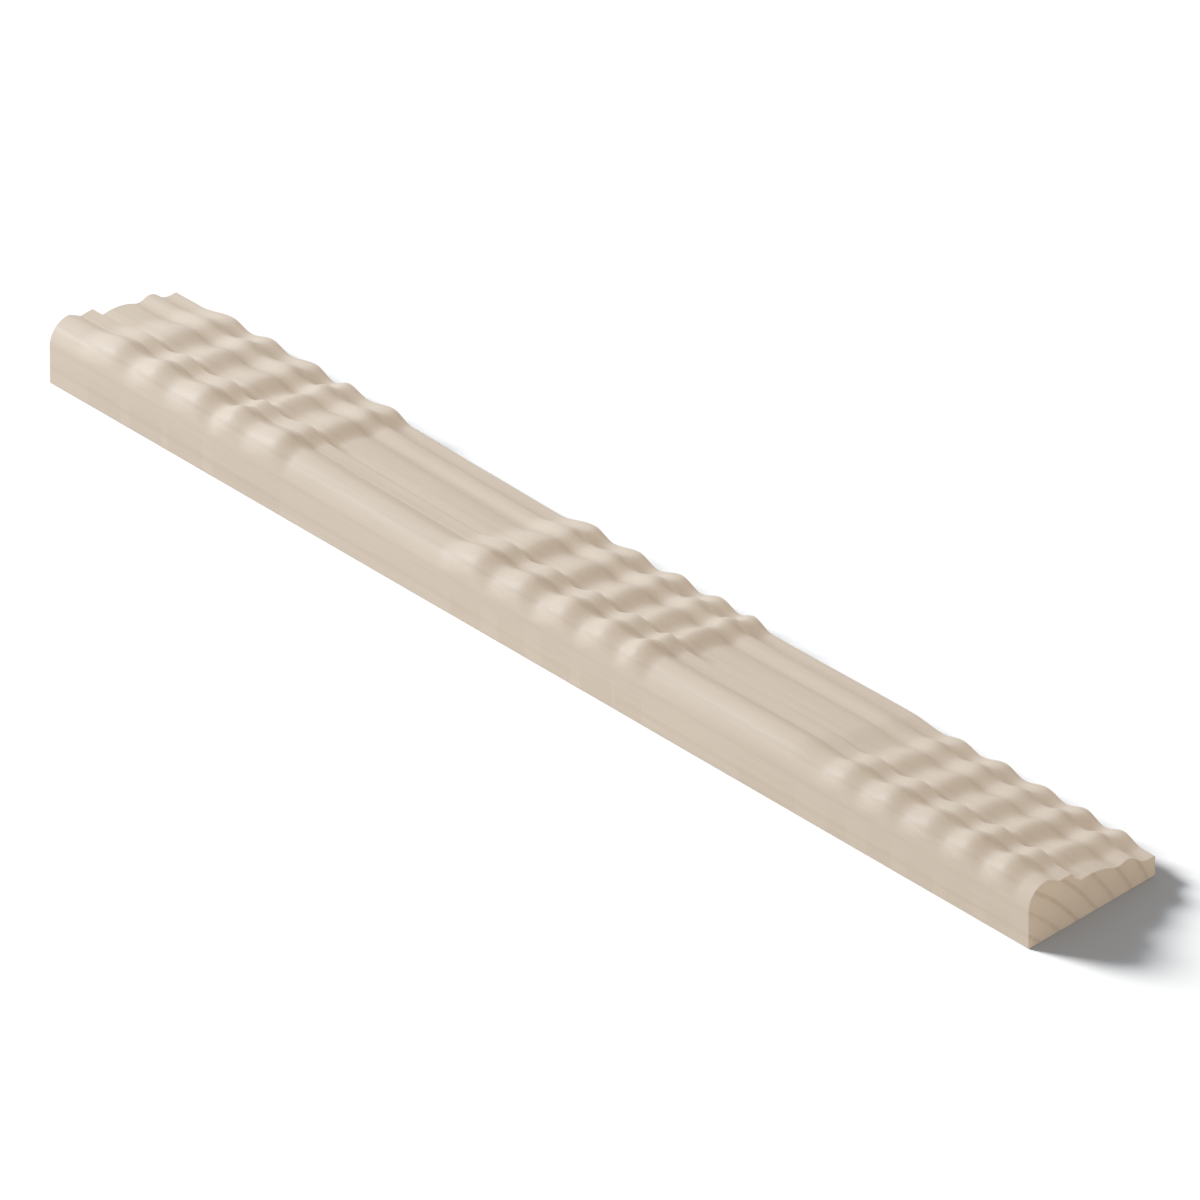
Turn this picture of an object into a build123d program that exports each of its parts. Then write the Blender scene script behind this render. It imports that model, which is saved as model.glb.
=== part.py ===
"""Ripple moulding: one length of pale hardwood trim, scraped to a section whose whole face rises and falls.

A wavy template lifted and lowered the cutter along the stock, so every line of the face ripples together, in
groups of crests with plain stretches between, while the two edges, the back and the ends are flat.
The origin is at the middle of the back, with +X along the stock and the tall edge at -Y.
"""

import os
from math import cos, radians, sin, sqrt, tan

from build123d import *

# Stock, in millimetres
length = 304.8

# Large bead on the tall edge
edge_height = 10.1  # flat edge below the bead
bead_radius = 5.4
bead_back_radius = 2.7  # of its tighter turn behind the crown
bead_back_angle = 31  # of its straight back, in degrees

# Fillet behind the bead, and the scooped quirk below its arris
fillet_drop = 2.1  # below the crown of the bead
arris_setback = 13.5  # from the tall edge
quirk_depth = 3.1
quirk_run = 3.2
quirk_radius = 4.8  # of its scoop

# Ovolo, the broad rounded member
ovolo_radius = 16.5
ovolo_rise = 0.1  # from the quirk to its crown

# Hollow and small bead behind the ovolo
hollow_radius = 3.6
hollow_depth = 2.4  # below the crown of the ovolo
small_bead_radius = 3.6
small_bead_rise = 0.5  # above the hollow

# Cove and flat land at the thin edge
slope_angle = 42  # of the straight fall from the small bead to the cove, in degrees
cove_radius = 5.5
land_drop = 3.35  # below the crown of the small bead
land_width = 1.55

# Template: an even rhythm of crests in groups, with plain stretches before and between them
first_crest = 17.8  # from the left end
crest_pitch = 12.6
crest_fall = 5.5  # from a crest to the hollow behind it, quicker than the rise to the next crest
group_pitch = 114.3

# The template was cut by hand. For each group: where the plain stretch ahead of it turns, counted back from
# the group's first even place, with the lift there; how far its crests stray along the stock from their even
# places; and how high the crests and the hollows behind them lift the section
plain_turns = (((9.9, 0.1),), ((36.4, 0.0), (11.6, -0.3)), ((16.3, 1.1), (7.0, 0.2)))
crest_strays = ((0.5, 0.2, 1.3, -0.7, 0.5), (-0.3, 0.8, 1.6, 1.2, -1.3), (-0.5, 0.1, 0.2, -0.4, -1.5))
crest_lifts = ((2.1, 2.4, 2.4, 2.4, 2.5), (2.2, 2.0, 2.4, 2.5, 2.5), (1.5, 2.0, 1.9, 2.2, 2.0))
hollow_lifts = ((0.6, 0.8, 0.4, 0.9, 0.4), (0.3, 0.1, 0.4, 0.8, 0.4), (0.1, 0.3, 0.4, 0.2, 0.1))


def on_circle(centre, radius, angle):
    """The point of a circle at an angle in degrees, counted upwards from the side of the thin edge."""
    return (centre[0] + radius * cos(radians(angle)), centre[1] + radius * sin(radians(angle)))


def beside(circle, circle_radius, height, radius):
    """The centre of a circle at a given height that touches another circle on the side of the thin edge."""
    return (circle[0] + sqrt((circle_radius + radius) ** 2 - (height - circle[1]) ** 2), height)


def touching(circle, circle_radius, other, other_radius):
    """The point where two circles touch."""
    share = circle_radius / (circle_radius + other_radius)
    return (circle[0] + share * (other[0] - circle[0]), circle[1] + share * (other[1] - circle[1]))


# Members of the section, from the tall edge to the thin one, as (distance from the tall edge, height)
bead = (bead_radius, edge_height)
bead_crown = on_circle(bead, bead_radius, 90)
bead_back = (bead_crown[0], bead_crown[1] - bead_back_radius)
back_top = on_circle(bead_back, bead_back_radius, 90 - bead_back_angle)
fillet_height = bead_crown[1] - fillet_drop
fillet_start = (back_top[0] + (back_top[1] - fillet_height) / tan(radians(bead_back_angle)), fillet_height)
arris = (arris_setback, fillet_height)
quirk = (arris_setback + quirk_run, fillet_height - quirk_depth)
ovolo_lead = sqrt(ovolo_radius**2 - (ovolo_radius - ovolo_rise) ** 2)
ovolo = (quirk[0] + ovolo_lead, quirk[1] + ovolo_rise - ovolo_radius)
hollow_height = ovolo[1] + ovolo_radius - hollow_depth
hollow = beside(ovolo, ovolo_radius, hollow_height + hollow_radius, hollow_radius)
crown_height = hollow_height + small_bead_rise
small_bead = beside(hollow, hollow_radius, crown_height - small_bead_radius, small_bead_radius)
land_height = crown_height - land_drop
slope_top = on_circle(small_bead, small_bead_radius, 90 - slope_angle)
slope_fall = slope_top[1] - land_height - cove_radius * (1 - cos(radians(slope_angle)))
slope_foot = (slope_top[0] + slope_fall / tan(radians(slope_angle)), slope_top[1] - slope_fall)
cove = (slope_foot[0] + cove_radius * sin(radians(slope_angle)), land_height + cove_radius)
width = cove[0] + land_width

ovolo_end = touching(ovolo, ovolo_radius, hollow, hollow_radius)
hollow_end = touching(hollow, hollow_radius, small_bead, small_bead_radius)
cove_end = on_circle(cove, cove_radius, -90)

# Turning points of the template, as (distance from the left end, lift), on past the right end of the stock
turns = [(0, 0)]
for group in range(int(length // group_pitch) + 1):
    row = group % len(crest_lifts)
    even_place = first_crest + group * group_pitch
    for ahead, lift in plain_turns[row]:
        turns.append((even_place - ahead, lift))
    for stray, lift, hollow_lift in zip(crest_strays[row], crest_lifts[row], hollow_lifts[row]):
        turns.append((even_place + stray, lift))
        turns.append((even_place + stray + crest_fall, hollow_lift))
        even_place += crest_pitch
turns.append((max(length, turns[-1][0]) + crest_pitch, 0))

with BuildPart() as moulding:
    # the flat of the tall edge under its wavy top, drawn deeper than the stock
    with BuildSketch(Plane.XZ.offset(width / 2)):
        with BuildLine():
            template = Spline(
                *[(place - length / 2, edge_height + lift) for place, lift in turns],
                tangents=[(1, 0)] * len(turns),
            )
            depth = 2 * (edge_height + bead_radius)
            Polyline(template @ 0, template @ 0 - (0, depth), template @ 1 - (0, depth), template @ 1)
        make_face()
    # the line of the section, across the face from the tall edge to the thin one
    with BuildLine(Plane((0, -width / 2, 0), x_dir=(0, 1, 0), z_dir=(1, 0, 0))) as section:
        ThreePointArc((0, edge_height), on_circle(bead, bead_radius, 135), bead_crown)
        ThreePointArc(bead_crown, on_circle(bead_back, bead_back_radius, 90 - bead_back_angle / 2), back_top)
        Polyline(back_top, fillet_start, arris)
        RadiusArc(arris, quirk, -quirk_radius)
        ThreePointArc(quirk, on_circle(ovolo, ovolo_radius, 90), ovolo_end)
        ThreePointArc(ovolo_end, on_circle(hollow, hollow_radius, -90), hollow_end)
        ThreePointArc(hollow_end, on_circle(small_bead, small_bead_radius, 90), slope_top)
        Line(slope_top, slope_foot)
        ThreePointArc(slope_foot, on_circle(cove, cove_radius, -90 - slope_angle / 2), cove_end)
        Line(cove_end, (width, land_height))
    sweep(path=section.wires()[0], normal=(0, 1, 0))
    # the stock cut to length, and its back planed flat
    split(bisect_by=Plane.YZ.offset(length / 2), keep=Keep.BOTTOM)
    split(bisect_by=Plane.XY, keep=Keep.TOP)

moulding.part.label = "ripple_moulding"
os.makedirs("parts", exist_ok=True)
export_step(moulding.part, "parts/ripple_moulding.step")
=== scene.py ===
"""A length of ripple moulding in bare maple, lying on a white studio floor in light from the left."""

from math import atan, atan2, ceil, cos, degrees, pi, radians, sin, sqrt, tan

import bpy
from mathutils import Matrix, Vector


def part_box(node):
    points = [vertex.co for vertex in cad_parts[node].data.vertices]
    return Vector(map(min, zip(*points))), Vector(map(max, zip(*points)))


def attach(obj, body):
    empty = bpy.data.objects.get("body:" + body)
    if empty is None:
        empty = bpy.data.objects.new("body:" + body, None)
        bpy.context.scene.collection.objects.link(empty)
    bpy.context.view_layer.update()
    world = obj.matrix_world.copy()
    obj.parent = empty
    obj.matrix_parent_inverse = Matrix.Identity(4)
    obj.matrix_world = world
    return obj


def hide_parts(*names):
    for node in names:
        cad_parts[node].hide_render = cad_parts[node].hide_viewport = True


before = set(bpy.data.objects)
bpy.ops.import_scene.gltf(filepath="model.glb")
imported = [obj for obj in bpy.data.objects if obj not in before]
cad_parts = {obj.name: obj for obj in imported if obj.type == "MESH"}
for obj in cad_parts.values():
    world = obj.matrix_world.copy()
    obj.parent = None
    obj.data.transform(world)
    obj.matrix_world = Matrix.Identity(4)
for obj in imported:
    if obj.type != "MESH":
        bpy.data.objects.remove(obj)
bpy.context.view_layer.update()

# The moulding is one strip of maple, planed flat on its back and edges and sawn square at the ends.
# A cutter of the section's shape was drawn along it while a wavy template raised and lowered the cutter,
# so that every line of the face ripples alike. Its arrises were then eased with fine abrasive paper.
mm = 0.001
low, high = [Vector(corner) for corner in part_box("ripple_moulding")]
length = high.x - low.x
width = high.y - low.y

# Members of the section, from the tall edge to the thin one
edge_height = 10.1 * mm
bead_radius = 5.4 * mm
bead_back_radius = 2.7 * mm
bead_back_angle = 31
fillet_height = 13.4 * mm
arris_setback = 13.5 * mm
quirk_setback = 16.7 * mm
quirk_height = 10.3 * mm
quirk_radius = 4.8 * mm
ovolo_radius = 16.5 * mm
ovolo_height = 10.4 * mm
hollow_radius = 3.6 * mm
hollow_height = 8.0 * mm
small_bead_radius = 3.6 * mm
small_bead_height = 8.5 * mm
slope_angle = 42
cove_radius = 5.5 * mm
land_height = 5.15 * mm
land_width = 1.55 * mm
arris_ease = 0.3 * mm
arris_roundness = 0.3
facet = 0.45 * mm
station = 0.5 * mm


def beside(circle, reach, height):
    """The point at a given height that lies a given reach from a circle's centre, towards the thin edge."""
    return Vector((circle.x + sqrt(reach**2 - (height - circle.y) ** 2), height))


def bearing(start, end):
    """The direction from one point of the section to another, in degrees up from the thin edge's side."""
    return degrees(atan2(end.y - start.y, end.x - start.x))


def arc(centre, radius, start, end):
    """Points along a round member of the section, from one angle to another in degrees."""
    steps = ceil(radius * abs(radians(end - start)) / facet)
    angles = [radians(start + (end - start) * step / steps) for step in range(steps + 1)]
    return [centre + radius * Vector((cos(angle), sin(angle))) for angle in angles]


def scooped(start, end, radius):
    """Points along a hollow of a given radius between two points of the section, the higher one first."""
    half = (end - start) / 2
    outward = Vector((-half.y, half.x)).normalized()
    centre = start + half + outward * sqrt(radius**2 - half.length_squared)
    return arc(centre, radius, bearing(centre, start), bearing(centre, end))


def eased(before, corner, after):
    """A corner between two straight lines of the section, with its arris rubbed down."""
    back = arris_ease * (before - corner).normalized()
    on = arris_ease * (after - corner).normalized()
    return [corner + back, corner + arris_roundness * (back + on), corner + on]


front_foot = Vector((0, 0))
edge_top = Vector((0, edge_height))
bead = Vector((bead_radius, edge_height))
bead_back = bead + Vector((0, bead_radius - bead_back_radius))
bead_turn = arc(bead_back, bead_back_radius, 90, 90 - bead_back_angle)
back_run = (bead_turn[-1].y - fillet_height) / tan(radians(bead_back_angle))
fillet_start = Vector((bead_turn[-1].x + back_run, fillet_height))
arris = Vector((arris_setback, fillet_height))
quirk = Vector((quirk_setback, quirk_height))
scoop = scooped(arris, quirk, quirk_radius)
ovolo_floor = ovolo_height - ovolo_radius
ovolo = Vector((quirk.x + sqrt(ovolo_radius**2 - (quirk.y - ovolo_floor) ** 2), ovolo_floor))
hollow = beside(ovolo, ovolo_radius + hollow_radius, hollow_height + hollow_radius)
small_bead = beside(hollow, hollow_radius + small_bead_radius, small_bead_height - small_bead_radius)
cove = Vector((width - land_width, land_height + cove_radius))
land_start = Vector((cove.x, land_height))
land_edge = Vector((width, land_height))
rear_foot = Vector((width, 0))

outline = [
    *eased(rear_foot, front_foot, edge_top),
    *arc(bead, bead_radius, 180, 90)[:-1],
    *bead_turn,
    fillet_start,
    *eased(fillet_start, arris, scoop[1]),
    *scoop[1:-1],
    *arc(ovolo, ovolo_radius, bearing(ovolo, quirk), bearing(ovolo, hollow))[:-1],
    *arc(hollow, hollow_radius, bearing(ovolo, hollow) - 180, bearing(hollow, small_bead))[:-1],
    *arc(small_bead, small_bead_radius, bearing(hollow, small_bead) + 180, 90 - slope_angle),
    *arc(cove, cove_radius, -90 - slope_angle, -90),
    *eased(land_start, land_edge, rear_foot),
    *eased(land_edge, rear_foot, front_foot),
]

section = bpy.data.objects.new("section", bpy.data.curves.new("section", "CURVE"))
section_line = section.data.splines.new("POLY")
section_line.points.add(len(outline) - 1)
for point, (setback, height) in zip(section_line.points, reversed(outline)):
    point.co = (low.y + setback, height, 0, 1)
section_line.use_cyclic_u = True

# The template, in millimetres: groups of crests with plain stretches between, cut by hand and so uneven
first_crest = 17.8
crest_pitch = 12.6
crest_fall = 5.5
group_pitch = 114.3
plain_turns = (((9.9, 0.1),), ((36.4, 0.0), (11.6, -0.3)), ((16.3, 1.1), (7.0, 0.2)))
crest_strays = ((0.5, 0.2, 1.3, -0.7, 0.5), (-0.3, 0.8, 1.6, 1.2, -1.3), (-0.5, 0.1, 0.2, -0.4, -1.5))
crest_lifts = ((2.1, 2.4, 2.4, 2.4, 2.5), (2.2, 2.0, 2.4, 2.5, 2.5), (1.5, 2.0, 1.9, 2.2, 2.0))
hollow_lifts = ((0.6, 0.8, 0.4, 0.9, 0.4), (0.3, 0.1, 0.4, 0.8, 0.4), (0.1, 0.3, 0.4, 0.2, 0.1))

turns = [(0, 0)]
for group, stretch in enumerate(plain_turns):
    even_place = first_crest + group * group_pitch
    for ahead, lift in stretch:
        turns.append((even_place - ahead, lift))
    for stray, lift, hollow_lift in zip(crest_strays[group], crest_lifts[group], hollow_lifts[group]):
        turns.append((even_place + stray, lift))
        turns.append((even_place + stray + crest_fall, hollow_lift))
        even_place += crest_pitch
turns.append((length / mm, turns[-1][1]))

template = bpy.data.objects.new("template", bpy.data.curves.new("template", "CURVE"))
template.data.dimensions = "3D"
template.data.resolution_u = 32
template_line = template.data.splines.new("BEZIER")
template_line.bezier_points.add(len(turns) - 1)
for number, (point, (place, lift)) in enumerate(zip(template_line.bezier_points, turns)):
    before = turns[max(number - 1, 0)][0]
    after = turns[min(number + 1, len(turns) - 1)][0]
    point.co = (low.x + place * mm, 0, lift * mm)
    point.handle_left = point.co - Vector(((place - before) / 3 * mm, 0, 0))
    point.handle_right = point.co + Vector(((after - place) / 3 * mm, 0, 0))


def add_node(tree, kind, inputs=(), **settings):
    """Add a node to a tree, with its settings, and give its inputs their values or links."""
    node = tree.nodes.new(kind)
    for name, value in settings.items():
        setattr(node, name, value)
    for socket, value in dict(inputs).items():
        if isinstance(value, bpy.types.NodeSocket):
            tree.links.new(value, node.inputs[socket])
        else:
            node.inputs[socket].default_value = value
    return node


# Maple, scraped and left bare: a pale, close-grained wood with a matt surface and hardly a visible pore.
# Each year's growth ends in a thin browner line. The lines show as arcs on the sawn ends, and run along the
# faces only as faint, slowly wandering streaks between fine fibres.
def linear(colour):
    """A colour for a shader, from its sRGB hex digits."""
    shares = [int(colour[start:start + 2], 16) / 255 for start in (0, 2, 4)]
    return [share / 12.92 if share <= 0.04045 else ((share + 0.055) / 1.055) ** 2.4 for share in shares] + [1]


pith = Vector((0, low.y - 36 * mm, -34 * mm))
first_ring = 52.5 * mm
ring_width = 4.7 * mm
wander_length = 220 * mm
wander_breadth = 40 * mm
wander_depth = 1.2 * mm
ripple_size = 5 * mm
ripple_depth = 0.3 * mm
patch_size = 2.5 * mm
fibre_length = 14 * mm
fibre_breadth = 0.4 * mm
fibre_relief = 0.02 * mm
tone_length = 90 * mm
tone_breadth = 6 * mm

maple = bpy.data.materials.new("bare_maple")
maple.use_nodes = True
wood = maple.node_tree
wood.nodes.clear()
point = add_node(wood, "ShaderNodeTexCoord")
place = point.outputs["Object"]

wander_place = add_node(wood, "ShaderNodeVectorMath", {
    0: place, 1: (1 / wander_length, 1 / wander_breadth, 1 / wander_breadth)}, operation="MULTIPLY")
wander = add_node(wood, "ShaderNodeTexNoise", {"Vector": wander_place.outputs[0], "Scale": 1, "Detail": 2})
from_pith = add_node(wood, "ShaderNodeVectorMath", {0: place, 1: pith}, operation="SUBTRACT")
across = add_node(wood, "ShaderNodeVectorMath", {0: from_pith.outputs[0], 1: (0, 1, 1)}, operation="MULTIPLY")
radius = add_node(wood, "ShaderNodeVectorMath", {0: across.outputs[0]}, operation="LENGTH")
strayed = add_node(wood, "ShaderNodeMath", {
    0: wander.outputs["Fac"], 1: 2 * wander_depth, 2: radius.outputs["Value"]}, operation="MULTIPLY_ADD")
ripples = add_node(wood, "ShaderNodeTexNoise", {
    "Vector": across.outputs[0], "Scale": 1 / ripple_size, "Detail": 2})
wavy = add_node(wood, "ShaderNodeMath", {
    0: ripples.outputs["Fac"], 1: 2 * ripple_depth, 2: strayed.outputs[0]}, operation="MULTIPLY_ADD")
mean_stray = wander_depth + ripple_depth
years = add_node(wood, "ShaderNodeMapRange", {
    "Value": wavy.outputs[0], "From Min": first_ring + mean_stray,
    "From Max": first_ring + mean_stray + ring_width}, clamp=False)
season = add_node(wood, "ShaderNodeMath", {0: years.outputs["Result"]}, operation="FRACT")
latewood = add_node(wood, "ShaderNodeValToRGB", {"Fac": season.outputs[0]})
latewood.color_ramp.interpolation = "EASE"
for stop, (share, dark) in enumerate(((0.0, 1.0), (0.12, 0.1), (0.45, 0.0), (0.78, 0.1), (0.95, 1.0))):
    element = latewood.color_ramp.elements[stop] if stop < 2 else latewood.color_ramp.elements.new(share)
    element.position = share
    element.color = (dark, dark, dark, 1)

year = add_node(wood, "ShaderNodeMath", {0: years.outputs["Result"]}, operation="ROUND")
year_depth = add_node(wood, "ShaderNodeTexWhiteNoise", {"W": year.outputs[0]}, noise_dimensions="1D")
line_depth = add_node(wood, "ShaderNodeMapRange", {"Value": year_depth.outputs["Value"], "To Min": 0.7})
patches = add_node(wood, "ShaderNodeTexNoise", {
    "Vector": across.outputs[0], "Scale": 1 / patch_size, "Detail": 3})
patched = add_node(wood, "ShaderNodeMapRange", {
    "Value": patches.outputs["Fac"], "From Min": 0.3, "From Max": 0.7, "To Min": 0.45})
full_line = add_node(wood, "ShaderNodeMath", {
    0: latewood.outputs["Color"], 1: line_depth.outputs["Result"]}, operation="MULTIPLY")
line = add_node(wood, "ShaderNodeMath", {
    0: full_line.outputs[0], 1: patched.outputs["Result"]}, operation="MULTIPLY")

fibre_place = add_node(wood, "ShaderNodeVectorMath", {
    0: place, 1: (1 / fibre_length, 1 / fibre_breadth, 1 / fibre_breadth)}, operation="MULTIPLY")
fibres = add_node(wood, "ShaderNodeTexNoise", {"Vector": fibre_place.outputs[0], "Scale": 1, "Detail": 3})
tone_place = add_node(wood, "ShaderNodeVectorMath", {
    0: place, 1: (1 / tone_length, 1 / tone_breadth, 1 / tone_breadth)}, operation="MULTIPLY")
tone = add_node(wood, "ShaderNodeTexNoise", {"Vector": tone_place.outputs[0], "Scale": 1, "Detail": 2})

# How squarely the surface cuts across the fibres: 1 on the sawn ends, 0 along the faces
cut = add_node(wood, "ShaderNodeSeparateXYZ", {"Vector": point.outputs["Normal"]})
crossing = add_node(wood, "ShaderNodeMath", {0: cut.outputs["X"], 1: cut.outputs["X"]}, operation="MULTIPLY")
line_share = add_node(wood, "ShaderNodeMapRange", {
    "Value": crossing.outputs[0], "To Min": 0.09, "To Max": 0.33})
line_mix = add_node(wood, "ShaderNodeMath", {0: line.outputs[0], 1: line_share.outputs["Result"]},
                    operation="MULTIPLY")
body = add_node(wood, "ShaderNodeMix", {
    "Factor": crossing.outputs[0], 6: linear("DACBBA"), 7: linear("DDCCB7")}, data_type="RGBA")
growth = add_node(wood, "ShaderNodeMix", {
    "Factor": line_mix.outputs[0], 6: body.outputs[2], 7: linear("96795A")}, data_type="RGBA")
toned = add_node(wood, "ShaderNodeMapRange", {
    "Value": tone.outputs["Fac"], "From Min": 0.25, "From Max": 0.75, "To Min": 0.97, "To Max": 1.03})
fibred = add_node(wood, "ShaderNodeMapRange", {
    "Value": fibres.outputs["Fac"], "From Min": 0.25, "From Max": 0.75, "To Min": 0.97, "To Max": 1.03})
shade = add_node(wood, "ShaderNodeMath", {0: toned.outputs["Result"], 1: fibred.outputs["Result"]},
                 operation="MULTIPLY")
shaded = add_node(wood, "ShaderNodeVectorMath", {0: growth.outputs[2], "Scale": shade.outputs[0]},
                  operation="SCALE")
relief = add_node(wood, "ShaderNodeBump", {
    "Height": fibres.outputs["Fac"], "Strength": 0.4, "Distance": fibre_relief})
surface = add_node(wood, "ShaderNodeBsdfPrincipled", {
    "Base Color": shaded.outputs[0], "Roughness": 0.45, "Specular IOR Level": 0.15,
    "Normal": relief.outputs["Normal"]})
add_node(wood, "ShaderNodeOutputMaterial", {"Surface": surface.outputs[0]})

# The strip is carried along the template's length, and each slice of it is then lifted as the template is
# there. The feet of the two edges stay on the floor, and the lift is whole from the land's height upwards.
ripple = bpy.data.node_groups.new("ripple along a template", "GeometryNodeTree")
for name, kind in (("Template", "Object"), ("Section", "Object"), ("Station", "Float"),
                   ("Land height", "Float"), ("Finish", "Material")):
    ripple.interface.new_socket(name, in_out="INPUT", socket_type="NodeSocket" + kind)
ripple.interface.new_socket("Strip", in_out="OUTPUT", socket_type="NodeSocketGeometry")
given = add_node(ripple, "NodeGroupInput")
template_shape = add_node(ripple, "GeometryNodeObjectInfo", {"Object": given.outputs["Template"]})
section_shape = add_node(ripple, "GeometryNodeObjectInfo", {"Object": given.outputs["Section"]})
stations = add_node(ripple, "GeometryNodeResampleCurve", {
    "Curve": template_shape.outputs["Geometry"], "Length": given.outputs["Station"]}, mode="LENGTH")
position = add_node(ripple, "GeometryNodeInputPosition")
axes = add_node(ripple, "ShaderNodeSeparateXYZ", {"Vector": position.outputs[0]})
marked = add_node(ripple, "GeometryNodeStoreNamedAttribute", {
    "Geometry": stations.outputs["Curve"], "Name": "lift", "Value": axes.outputs["Z"]})
along = add_node(ripple, "ShaderNodeCombineXYZ", {"X": axes.outputs["X"]})
straight = add_node(ripple, "GeometryNodeSetPosition", {
    "Geometry": marked.outputs["Geometry"], "Position": along.outputs[0]})
upright = add_node(ripple, "GeometryNodeSetCurveTilt", {"Curve": straight.outputs["Geometry"], "Tilt": pi})
plain = add_node(ripple, "GeometryNodeCurveToMesh", {
    "Curve": upright.outputs["Curve"], "Profile Curve": section_shape.outputs["Geometry"], "Fill Caps": True})
lift = add_node(ripple, "GeometryNodeInputNamedAttribute", {"Name": "lift"})
follow = add_node(ripple, "ShaderNodeMapRange", {
    "Value": axes.outputs["Z"], "From Max": given.outputs["Land height"]})
rise = add_node(ripple, "ShaderNodeMath", {
    0: lift.outputs["Attribute"], 1: follow.outputs["Result"]}, operation="MULTIPLY")
raised = add_node(ripple, "ShaderNodeCombineXYZ", {"Z": rise.outputs[0]})
rippled = add_node(ripple, "GeometryNodeSetPosition", {
    "Geometry": plain.outputs["Mesh"], "Offset": raised.outputs[0]})
unmarked = add_node(ripple, "GeometryNodeRemoveAttribute", {
    "Geometry": rippled.outputs["Geometry"], "Name": "lift"})
realized = add_node(ripple, "GeometryNodeRealizeInstances", {"Geometry": unmarked.outputs["Geometry"]})
finished = add_node(ripple, "GeometryNodeSetMaterial", {
    "Geometry": realized.outputs["Geometry"], "Material": given.outputs["Finish"]})
add_node(ripple, "NodeGroupOutput", {"Strip": finished.outputs["Geometry"]})

moulding = bpy.data.objects.new("moulding", bpy.data.meshes.new("moulding"))
for piece in (template, section, moulding):
    bpy.context.scene.collection.objects.link(piece)
carry = moulding.modifiers.new("ripple", "NODES")
carry.node_group = ripple
sizes = {"Template": template, "Section": section, "Station": station, "Land height": land_height,
         "Finish": maple}
for socket in ripple.interface.items_tree:
    if socket.in_out == "INPUT":
        carry[socket.identifier] = sizes[socket.name]
ends = moulding.modifiers.new("eased ends", "BEVEL")
ends.width = arris_ease / 2
ends.segments = 2
ends.limit_method = "ANGLE"
ends.angle_limit = radians(60)
strip = bpy.data.meshes.new_from_object(moulding.evaluated_get(bpy.context.evaluated_depsgraph_get()))
moulding.modifiers.clear()
moulding.data = strip
strip.shade_smooth()
strip.set_sharp_from_angle(angle=radians(20))
for face in strip.polygons:
    if abs(face.normal.x) > 0.99:
        face.use_smooth = False
for helper in (template, section):
    bpy.data.objects.remove(helper)
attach(moulding, "root")
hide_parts("ripple_moulding")

# The floor is a plain white studio floor, wide enough to fill the picture. A lamp of its own lights it from
# about the main lamp's side and leaves the moulding alone, so that it stays white and keeps a clear shadow.
# Towards the moulding the floor also glows evenly, a painted glow that stands in for light bounced up from it
# and is not dimmed in the moulding's shadow.
bpy.ops.mesh.primitive_plane_add(size=8, location=(0, 0, -0.02 * mm))
floor = bpy.context.object
floor.name = "floor"


def sees_white(tree):
    """1 where the eye meets a surface, straight or by gloss or glass, and 0 for its light on other things."""
    rays = add_node(tree, "ShaderNodeLightPath").outputs
    mirrored = add_node(tree, "ShaderNodeMath", {
        0: rays["Is Camera Ray"], 1: rays["Is Glossy Ray"]}, operation="MAXIMUM")
    return add_node(tree, "ShaderNodeMath", {
        0: mirrored.outputs[0], 1: rays["Is Transmission Ray"]}, operation="MAXIMUM").outputs[0]


paper = bpy.data.materials.new("white_floor")
paper.use_nodes = True
sheet = paper.node_tree
sheet.nodes.clear()
shown = add_node(sheet, "ShaderNodeBsdfDiffuse", {"Color": (0.406, 0.43, 0.467, 1)})
lit = add_node(sheet, "ShaderNodeBsdfDiffuse", {"Color": (0.2, 0.2, 0.2, 1)})
# Painted glow: an even emission seen only by the moulding's light rays, added to the floor's real diffuse
# bounce
even = add_node(sheet, "ShaderNodeEmission", {"Strength": 0.29})
bounce_and_glow = add_node(sheet, "ShaderNodeAddShader", {0: lit.outputs[0], 1: even.outputs[0]})
seen = add_node(sheet, "ShaderNodeMixShader", {
    "Fac": sees_white(sheet), 1: bounce_and_glow.outputs[0], 2: shown.outputs[0]})
add_node(sheet, "ShaderNodeOutputMaterial", {"Surface": seen.outputs[0]})
floor.data.materials.append(paper)


def from_side(azimuth, elevation):
    """The direction towards a lamp, from its angle round the moulding and its angle above the floor."""
    azimuth = radians(azimuth)
    elevation = radians(elevation)
    return Vector((cos(azimuth) * cos(elevation), sin(azimuth) * cos(elevation), sin(elevation)))


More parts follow.
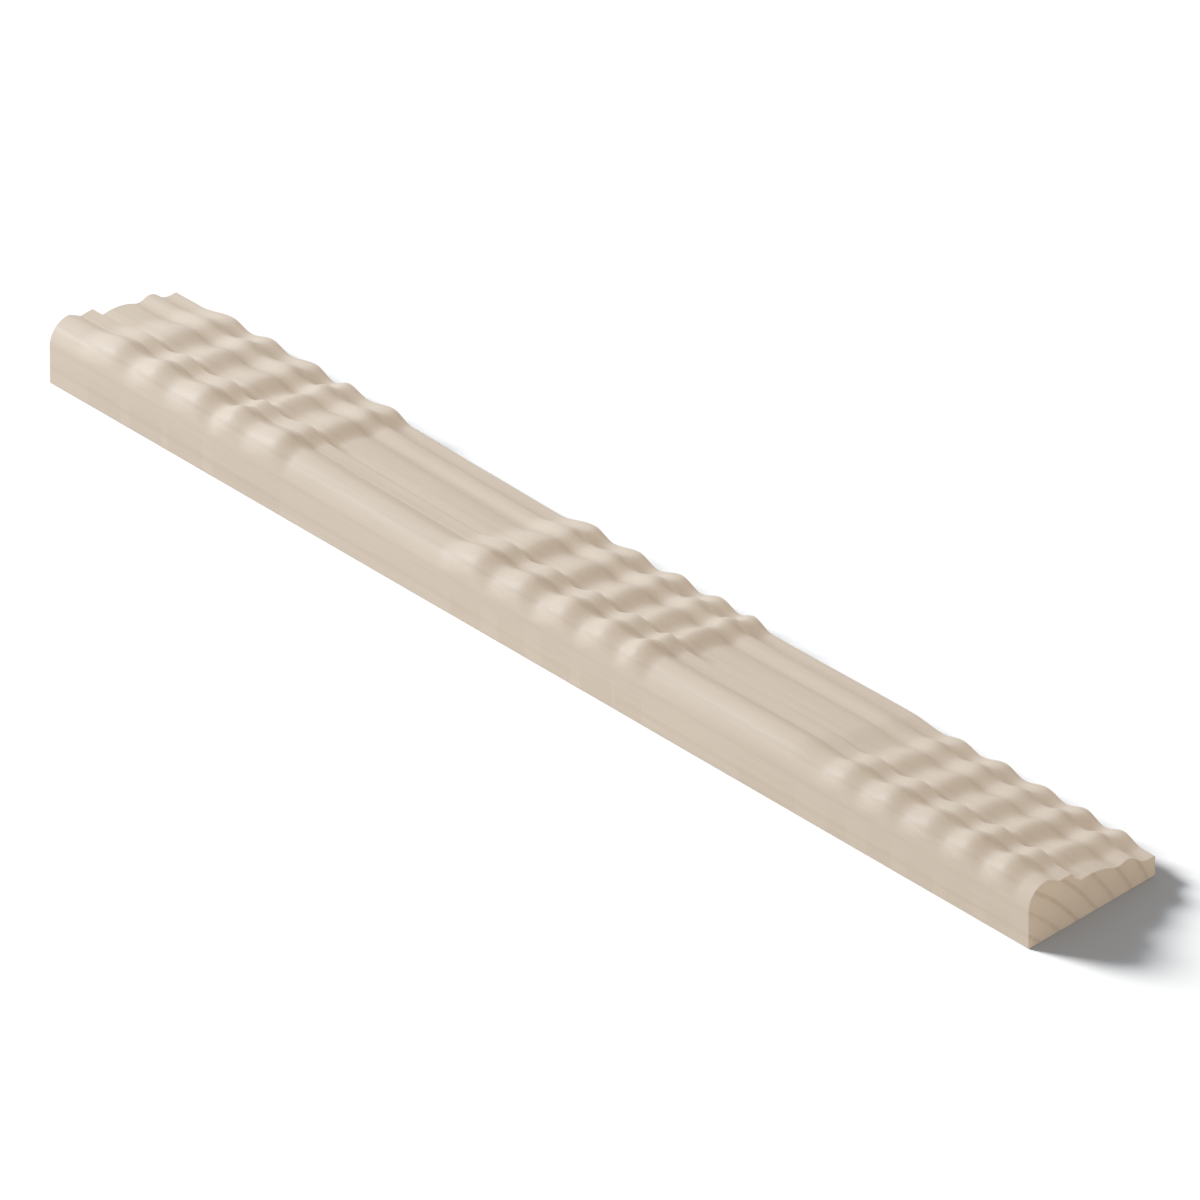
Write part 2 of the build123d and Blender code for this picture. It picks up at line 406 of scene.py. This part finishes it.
floor_lamp = bpy.data.objects.new("floor_lamp", bpy.data.lights.new("floor_lamp", "SUN"))
floor_lamp.data.energy = 11.3
floor_lamp.data.color = linear("FFF6E8")[:3]
floor_lamp.data.angle = radians(18)
floor_lamp.rotation_euler = from_side(201.5, 27.2).to_track_quat("Z", "Y").to_euler()
bpy.context.scene.collection.objects.link(floor_lamp)
floor_lamp.light_linking.receiver_collection = bpy.data.collections.new("floor_alone")
floor_lamp.light_linking.receiver_collection.objects.link(floor)

# The light on the moulding is a soft, slightly cool lamp from the left and a little in front, low enough for
# the crests to cast their shade, in a bright and slightly warm room. It fades a little along the strip.
lamp_distance = 1.7
lamp = bpy.data.objects.new("lamp", bpy.data.lights.new("lamp", "AREA"))
lamp.data.shape = "DISK"
lamp.data.size = 0.54
lamp.data.energy = 20.2
lamp.data.color = linear("DCEDFF")[:3]
lamp.location = lamp_distance * from_side(207, 34.5)
lamp.rotation_euler = lamp.location.to_track_quat("Z", "Y").to_euler()
bpy.context.scene.collection.objects.link(lamp)

room = bpy.data.worlds.new("white_room")
room.use_nodes = True
air = room.node_tree
air.nodes.clear()
seen_white = sees_white(air)
strength = add_node(air, "ShaderNodeMapRange", {"Value": seen_white, "To Min": 0.64, "To Max": 1})
tint = add_node(air, "ShaderNodeMix", {
    "Factor": seen_white, 6: linear("FFF8EF"), 7: linear("FFFFFF")}, data_type="RGBA")
white = add_node(air, "ShaderNodeBackground", {
    "Color": tint.outputs[2], "Strength": strength.outputs["Result"]})
add_node(air, "ShaderNodeOutputWorld", {"Surface": white.outputs[0]})
bpy.context.scene.world = room
bpy.context.scene.view_settings.view_transform = "Standard"

# The camera looks along the diagonal of a cube, from so far away that the edges stay almost parallel.
picture_width = 264.39 * mm
aim = Vector((-7.23 * mm, 7.56 * mm, 0))
azimuth = radians(45)
elevation = atan(sqrt(0.5))
camera = bpy.data.objects.new("camera", bpy.data.cameras.new("camera"))
camera.data.lens = 1650
distance = picture_width * camera.data.lens / camera.data.sensor_width
sightline = Vector((sin(azimuth) * cos(elevation), -cos(azimuth) * cos(elevation), sin(elevation)))
camera.location = aim + distance * sightline
camera.rotation_euler = sightline.to_track_quat("Z", "Y").to_euler()
camera.data.clip_end = 2 * distance
bpy.context.scene.collection.objects.link(camera)
bpy.context.scene.camera = camera
